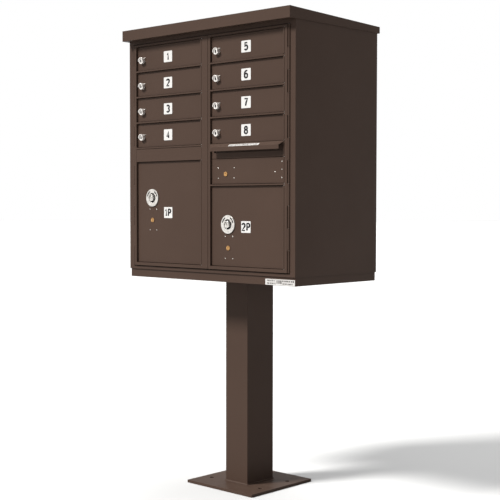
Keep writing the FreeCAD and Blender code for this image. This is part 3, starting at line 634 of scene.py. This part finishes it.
for number in range(1, 9):
    centre = middle(f"tenant_lock_{number}")
    # a dark disc over the keyhole: painted shade
    keyhole_shade = film(f"painted_keyhole_shade_{number}", *KEYHOLE_SHADE, KEYHOLE_SHADE[0] * KEYHOLE_SHADE_CORNER_SHARE, KEYHOLE_SHADE_THICKNESS)
    plug_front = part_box(f"tenant_lock_plug_{number}")[0][1]
    add_piece(keyhole_shade.name, keyhole_shade, ink_and_painted_shade, f"tenant_plug_{number}",
              at(centre.x, plug_front, centre.z - KEYHOLE_SHADE_DROP))
    # a light sheet beside the head stands in for the lit top of the head: painted highlight
    highlight_streak = sheet(f"lock_highlight_streak_{number}", HIGHLIGHT_STREAK_OUTLINE, HIGHLIGHT_STREAK_THICKNESS)
    door = f"tenant_door_{number}"
    add_piece(highlight_streak.name, highlight_streak, nickel_streak_highlight, door, at(centre.x, leaf_face(door), centre.z))


# --- parcel lock faces ---------------------------------------------------------------------------

for number in (1, 2):
    body = f"parcel_door_{number}"
    face = leaf_face(body)
    centre = middle(f"parcel_lock_{number}")
    for side, (start, end) in enumerate(ARC_SPANS, start=1):
        mark = arc_strip(f"lock_mark_{number}_{side}", ARC_INNER, ARC_OUTER, start, end, ARC_THICKNESS)
        add_piece(mark.name, mark, ink_and_painted_shade, body, at(centre.x, face - COLLAR_RISE, centre.z))
    # dark rings on the floor of the groove round the plug: painted shade
    for side, (start, end) in enumerate(((0, 180), (180, 360)), start=1):
        name = f"lock_groove_{number}_{side}"
        groove_shade_ring = arc_strip(name, GROOVE_INNER, GROOVE_OUTER, start, end, ARC_THICKNESS, GROOVE_STEPS)
        y = face - COLLAR_RISE + GROOVE_DEPTH
        add_piece(name, groove_shade_ring, ink_and_painted_shade, body, at(centre.x, y, centre.z))


# --- mail slot flap and blank stickers -----------------------------------------------------------

def bars(name, rows, seed):
    """Rows of plain bars in the XZ plane that stand in for print; rows: (z, height, left, right)."""
    random = Random(seed)

    def build(work):
        for z, height, left, right in rows:
            x = left
            while x < right:
                width = random.uniform(*BAR_WIDTHS) * MM
                corners = [(x, z), (x + width, z), (x + width, z + height), (x, z + height)]
                add_slab(work, corners, PRINT_THICKNESS)
                x += width + random.uniform(*BAR_GAPS) * MM

    return mesh_from(name, build)


# a flap hangs just behind the mail slot
awning_low, awning_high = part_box("outgoing_mail_awning")
flap = film("mail_slot_flap", *FLAP_SIZE, FLAP_CORNER, FLAP_THICKNESS)
flap_x = (awning_low[0] + awning_high[0]) / 2
flap_y = awning_high[1] + FLAP_BEHIND + FLAP_THICKNESS
add_piece("mail_slot_flap", flap, coat, "right_master",
          at(flap_x, flap_y, awning_high[2] - SLOT_MIDDLE_DROP))

skirt_low, skirt_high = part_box("cabinet_floor")
sticker = film("sticker_skirt", *SKIRT_STICKER, SKIRT_STICKER_CORNER, LABEL_THICKNESS)
sticker_x = skirt_high[0] - SKIRT_STICKER_INSET - SKIRT_STICKER[0] / 2
sticker_z = skirt_low[2] + SKIRT_STICKER_INSET * SKIRT_STICKER_LIFT_SHARE + SKIRT_STICKER[1] / 2
add_piece("sticker_skirt", sticker, sticker_film, "cabinet",
          at(sticker_x, skirt_low[1], sticker_z))
skirt_bars = bars("sticker_skirt_bars", SKIRT_ROWS, SKIRT_SEED)
add_piece("sticker_skirt_bars", skirt_bars, print_grey, "cabinet",
          at(sticker_x, skirt_low[1] - LABEL_THICKNESS, sticker_z))

slope = math.atan2(AWNING_FALL, AWNING_REACH)
awning_label = film("sticker_awning", *AWNING_LABEL, AWNING_LABEL_CORNER, LABEL_THICKNESS)
lean = Matrix.Rotation(slope - math.radians(90), 4, "X")
label_y = awning_low[1] + AWNING_REACH * (1 - AWNING_LABEL_SLIDE)
label_z = awning_high[2] - AWNING_FALL * AWNING_LABEL_SLIDE
place = at(AWNING_LABEL_X, label_y, label_z) @ lean
add_piece("sticker_awning", awning_label, label_film, "right_master", place)
awning_bars = bars("sticker_awning_bars", AWNING_ROWS, AWNING_SEED)
add_piece("sticker_awning_bars", awning_bars, print_grey, "right_master",
          place @ at(0.0, -LABEL_THICKNESS, 0.0))


# --- welds at both ends of the column ------------------------------------------------------------

def weld_bead(name, half_x, half_y, z, up):
    """A rippled fillet bead around the column."""
    def build(work):
        corners = [(-half_x, -half_y), (half_x, -half_y), (half_x, half_y), (-half_x, half_y)]
        path = []
        for index, start in enumerate(corners):
            end = corners[(index + 1) % 4]
            start, end = Vector(start), Vector(end)
            outward = Vector(((end - start).y, -(end - start).x)).normalized()
            count = max(2, int((end - start).length / WELD_RIPPLE_PITCH * STEPS_PER_RIPPLE))
            for step in range(count):
                path.append((start.lerp(end, step / count), outward, step))
        rings = []
        for index, (point, outward, step) in enumerate(path):
            if step == 0:
                outward = (outward + path[index - 1][1]).normalized()
            wave = math.cos(2 * math.pi * step / STEPS_PER_RIPPLE)
            size = WELD_RADIUS * (1.0 - WELD_RIPPLE + WELD_RIPPLE * wave)
            ring = []
            for side in range(WELD_SIDES):
                turn = 2 * math.pi * side / WELD_SIDES
                out, rise = size * math.cos(turn), size * math.sin(turn)
                x, y = point.x + outward.x * out, point.y + outward.y * out
                ring.append(work.verts.new((x, y, z + up * rise)))
            rings.append(ring)
        for index in range(len(rings)):
            lower, upper = rings[index], rings[(index + 1) % len(rings)]
            for side in range(WELD_SIDES):
                after = (side + 1) % WELD_SIDES
                work.faces.new((lower[side], lower[after], upper[after], upper[side]))

    return mesh_from(name, build)


column_low, column_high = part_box("pedestal_column")
half_x, half_y = column_high[0], column_high[1]
for name, z, up in (("weld_foot", column_low[2], 1), ("weld_head", column_high[2], -1)):
    bead = weld_bead(name, half_x, half_y, z, up)
    add_piece(name, bead, coat_pedestal, "cabinet", smooth=True)


# --- studio --------------------------------------------------------------------------------------

def sun(name, towards_light, power, spread_angle, colour):
    light = bpy.data.lights.new(name, "SUN")
    light.energy = power
    light.angle = math.radians(spread_angle)
    light.color = colour
    lamp = bpy.data.objects.new(name, light)
    bpy.context.scene.collection.objects.link(lamp)
    lamp.rotation_euler = (-Vector(towards_light)).to_track_quat("-Z", "Y").to_euler()


def make_floor():
    def build(work):
        ring = []
        for step in range(FLOOR_STEPS):
            turn = 2 * math.pi * step / FLOOR_STEPS
            ring.append(work.verts.new((FLOOR_RADIUS * math.cos(turn), FLOOR_RADIUS * math.sin(turn), 0.0)))
        work.faces.new(ring)

    floor = bpy.data.objects.new("studio_ground", mesh_from("studio_ground", build))
    bpy.context.scene.collection.objects.link(floor)
    floor.data.materials.append(studio_floor())
    floor.location.z = cad_low[2] - FLOOR_BELOW
    floor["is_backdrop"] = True


def make_world():
    """A pale horizon, a dimmer band above it and a bright overhead, like a lit studio ceiling."""
    world = bpy.data.worlds.new("studio")
    world.use_nodes = True
    nodes, links = world.node_tree.nodes, world.node_tree.links
    background = nodes["Background"]
    place = nodes.new("ShaderNodeTexCoord")
    axes = nodes.new("ShaderNodeSeparateXYZ")
    links.new(place.outputs["Generated"], axes.inputs[0])
    sky = nodes.new("ShaderNodeFloatCurve")
    curve = sky.mapping.curves[0]
    curve.points[0].location = (0.0, SKY_HORIZON / SKY_SCALE)
    curve.points[1].location = (1.0, SKY_TOP / SKY_SCALE)
    for height, level in ((0.26, SKY_HORIZON), (0.42, SKY_BAND), (0.72, SKY_BAND), (0.90, SKY_TOP)):
        curve.points.new(height, level / SKY_SCALE)
    for point in curve.points:
        point.handle_type = "VECTOR"
    sky.mapping.update()
    links.new(axes.outputs["Z"], sky.inputs["Value"])
    level = nodes.new("ShaderNodeMath")
    level.operation = "MULTIPLY"
    level.inputs[1].default_value = SKY_SCALE
    links.new(sky.outputs["Value"], level.inputs[0])
    links.new(level.outputs[0], background.inputs["Strength"])
    background.inputs["Color"].default_value = (1.0, 1.0, 1.0, 1.0)
    bpy.context.scene.world = world


make_floor()
make_world()
sun("key", (-2.2, -4.2, 4.7), 8.6, 13.0, (1.0, 0.99, 0.97))
sun("overhead", (-1.5, 2.5, 9.0), 1.8, 30.0, (1.0, 1.0, 1.0))

camera = bpy.data.objects.new("camera", bpy.data.cameras.new("camera"))
bpy.context.scene.collection.objects.link(camera)
camera.data.sensor_width = 36.0
camera.data.lens = camera.data.sensor_width * FOCAL_PIXELS / PICTURE_PIXELS
camera.matrix_world = (
    Matrix.Translation(CAMERA_PLACE)
    @ Matrix.Rotation(math.radians(CAMERA_TURN), 4, "Z")
    @ Matrix.Rotation(math.radians(90 + CAMERA_TILT), 4, "X")
    @ Matrix.Rotation(math.radians(CAMERA_ROLL), 4, "Z")
)
bpy.context.scene.camera = camera
bpy.context.scene.view_settings.view_transform = "Standard"

low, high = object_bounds()
